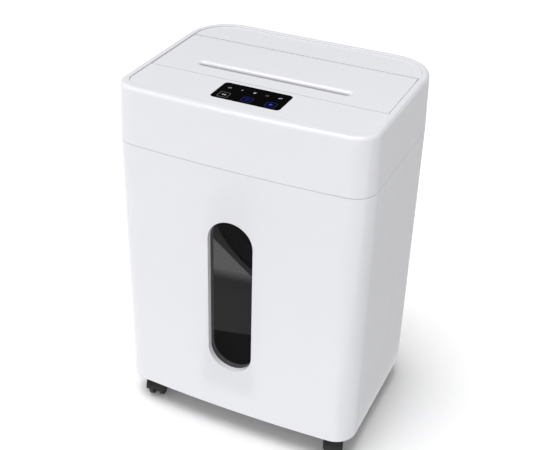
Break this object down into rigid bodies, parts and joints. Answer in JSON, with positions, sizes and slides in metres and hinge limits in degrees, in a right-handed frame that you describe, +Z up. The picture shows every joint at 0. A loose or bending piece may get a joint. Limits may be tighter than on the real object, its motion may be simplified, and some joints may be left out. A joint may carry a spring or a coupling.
{
  "type": "paper shredder",
  "caption": "White paper shredder on casters with a pull-out bin, smoked window, lidded feed slot, touch panel and full cutter drive.",
  "frame": {"origin": "on the floor under the middle of the casing", "axes": "+X to the right seen from the front, +Y to the back, +Z up"},
  "size_m": [0.38, 0.295, 0.55],
  "materials": {
    "white_abs": "gloss white moulding",
    "black_plastic": "satin black moulding",
    "dark_plastic": "satin dark grey moulding",
    "smoked_acrylic": "gloss smoked acrylic",
    "panel_glass": "gloss black back-printed glass",
    "board_green": "solder-masked board",
    "led_white": "clear lamp",
    "zinc_steel": "zinc-plated sheet",
    "cutter_steel": "oiled hardened steel",
    "gear_steel": "sintered steel",
    "gear_nylon": "natural nylon",
    "bronze": "bronze and brass",
    "caster_plastic": "satin black moulding"
  },
  "bodies": {
    "cabinet": {"cabinet_shell": "white_abs", "base_tray": "dark_plastic", "bin_rail_left": "dark_plastic", "bin_rail_right": "dark_plastic", "cross_beam": "zinc_steel", "caster_mounts": "zinc_steel", "head_shell": "white_abs", "head_pan": "white_abs", "head_screws": "zinc_steel", "front_deck": "white_abs", "rear_deck": "white_abs", "lid_pins": "zinc_steel", "touch_glass": "panel_glass", "control_board": "board_green", "board_leds": "led_white", "throat_guide": "black_plastic", "paper_sensor": "black_plastic", "side_plate_left": "zinc_steel", "side_plate_right": "zinc_steel", "tie_rods": "zinc_steel", "shaft_bushings": "bronze", "stripper_front": "dark_plastic", "stripper_rear": "dark_plastic", "gear_pins": "zinc_steel", "motor_can": "zinc_steel", "motor_stator": "cutter_steel", "motor_cradle": "dark_plastic", "power_board": "board_green", "board_parts": "dark_plastic", "reed_switch": "dark_plastic", "service_plate": "black_plastic", "mains_inlet": "black_plastic", "inlet_pins": "bronze", "switch_housing": "black_plastic"},
    "drawer": {"drawer_front": "white_abs", "window_pane": "smoked_acrylic", "waste_bin": "black_plastic", "bin_screws": "zinc_steel", "bin_magnet": "dark_plastic"},
    "feed_cover": {"feed_lid": "white_abs"},
    "cutter_rear": {"cutter_shaft_rear": "cutter_steel", "cutter_discs_rear": "cutter_steel", "sync_gear_rear": "gear_steel", "main_gear": "gear_steel"},
    "cutter_front": {"cutter_shaft_front": "cutter_steel", "cutter_discs_front": "cutter_steel", "sync_gear_front": "gear_steel"},
    "reduction_second": {"second_gear": "gear_steel"},
    "reduction_first": {"first_gear": "gear_nylon"},
    "motor_spindle": {"motor_rotor": "gear_steel", "motor_fan": "black_plastic"},
    "main_switch_rocker": {"power_rocker": "black_plastic"},
    "caster_fl": {"caster_fork_fl": "caster_plastic"},
    "wheels_fl": {"caster_wheels_fl": "caster_plastic"},
    "caster_fr": {"caster_fork_fr": "caster_plastic"},
    "wheels_fr": {"caster_wheels_fr": "caster_plastic"},
    "caster_rl": {"caster_fork_rl": "caster_plastic"},
    "wheels_rl": {"caster_wheels_rl": "caster_plastic"},
    "caster_rr": {"caster_fork_rr": "caster_plastic"},
    "wheels_rr": {"caster_wheels_rr": "caster_plastic"}
  },
  "joints": [
    {"name": "drawer_slide", "type": "slide", "parent": "cabinet", "child": "drawer", "axis": [0, -1, 0], "range_m": [0, 0.26]},
    {"name": "feed_lid_hinge", "type": "hinge", "parent": "cabinet", "child": "feed_cover", "pos_m": [0, 0.074, 0.5446], "axis": [-1, 0, 0], "range_deg": [0, 95]},
    {"name": "rear_cutter_spin", "type": "hinge", "parent": "cabinet", "child": "cutter_rear", "pos_m": [0, 0.003, 0.5], "axis": [1, 0, 0], "continuous": true},
    {"name": "front_cutter_spin", "type": "hinge", "parent": "cabinet", "child": "cutter_front", "pos_m": [0, -0.035, 0.5], "axis": [1, 0, 0], "continuous": true},
    {"name": "second_gear_spin", "type": "hinge", "parent": "cabinet", "child": "reduction_second", "pos_m": [0, 0.04052, 0.506], "axis": [1, 0, 0], "continuous": true},
    {"name": "first_gear_spin", "type": "hinge", "parent": "cabinet", "child": "reduction_first", "pos_m": [0, 0.07346, 0.504], "axis": [1, 0, 0], "continuous": true},
    {"name": "motor_spin", "type": "hinge", "parent": "cabinet", "child": "motor_spindle", "pos_m": [0, 0.10646, 0.504], "axis": [1, 0, 0], "continuous": true},
    {"name": "main_switch_tilt", "type": "hinge", "parent": "cabinet", "child": "main_switch_rocker", "pos_m": [-0.054, 0.1385, 0.5], "axis": [0, 0, 1], "range_deg": [0, 20]},
    {"name": "caster_fl_swivel", "type": "hinge", "parent": "cabinet", "child": "caster_fl", "pos_m": [-0.154, -0.102, 0.043], "axis": [0, 0, 1], "continuous": true},
    {"name": "wheels_fl_roll", "type": "hinge", "parent": "caster_fl", "child": "wheels_fl", "pos_m": [-0.1502, -0.11443, 0.019], "axis": [0.9563, 0.2924, 0], "continuous": true},
    {"name": "caster_fr_swivel", "type": "hinge", "parent": "cabinet", "child": "caster_fr", "pos_m": [0.154, -0.102, 0.043], "axis": [0, 0, 1], "continuous": true},
    {"name": "wheels_fr_roll", "type": "hinge", "parent": "caster_fr", "child": "wheels_fr", "pos_m": [0.1578, -0.11443, 0.019], "axis": [0.9563, 0.2924, 0], "continuous": true},
    {"name": "caster_rl_swivel", "type": "hinge", "parent": "cabinet", "child": "caster_rl", "pos_m": [-0.134, 0.092, 0.043], "axis": [0, 0, 1], "continuous": true},
    {"name": "wheels_rl_roll", "type": "hinge", "parent": "caster_rl", "child": "wheels_rl", "pos_m": [-0.1302, 0.07957, 0.019], "axis": [0.9563, 0.2924, 0], "continuous": true},
    {"name": "caster_rr_swivel", "type": "hinge", "parent": "cabinet", "child": "caster_rr", "pos_m": [0.134, 0.092, 0.043], "axis": [0, 0, 1], "continuous": true},
    {"name": "wheels_rr_roll", "type": "hinge", "parent": "caster_rr", "child": "wheels_rr", "pos_m": [0.1378, 0.07957, 0.019], "axis": [0.9563, 0.2924, 0], "continuous": true}
  ],
  "couplings": [
    {"joint": "front_cutter_spin", "follows": "rear_cutter_spin", "ratio": -1},
    {"joint": "second_gear_spin", "follows": "rear_cutter_spin", "ratio": -2.1667},
    {"joint": "first_gear_spin", "follows": "rear_cutter_spin", "ratio": 5.7778},
    {"joint": "motor_spin", "follows": "rear_cutter_spin", "ratio": -26}
  ]
}
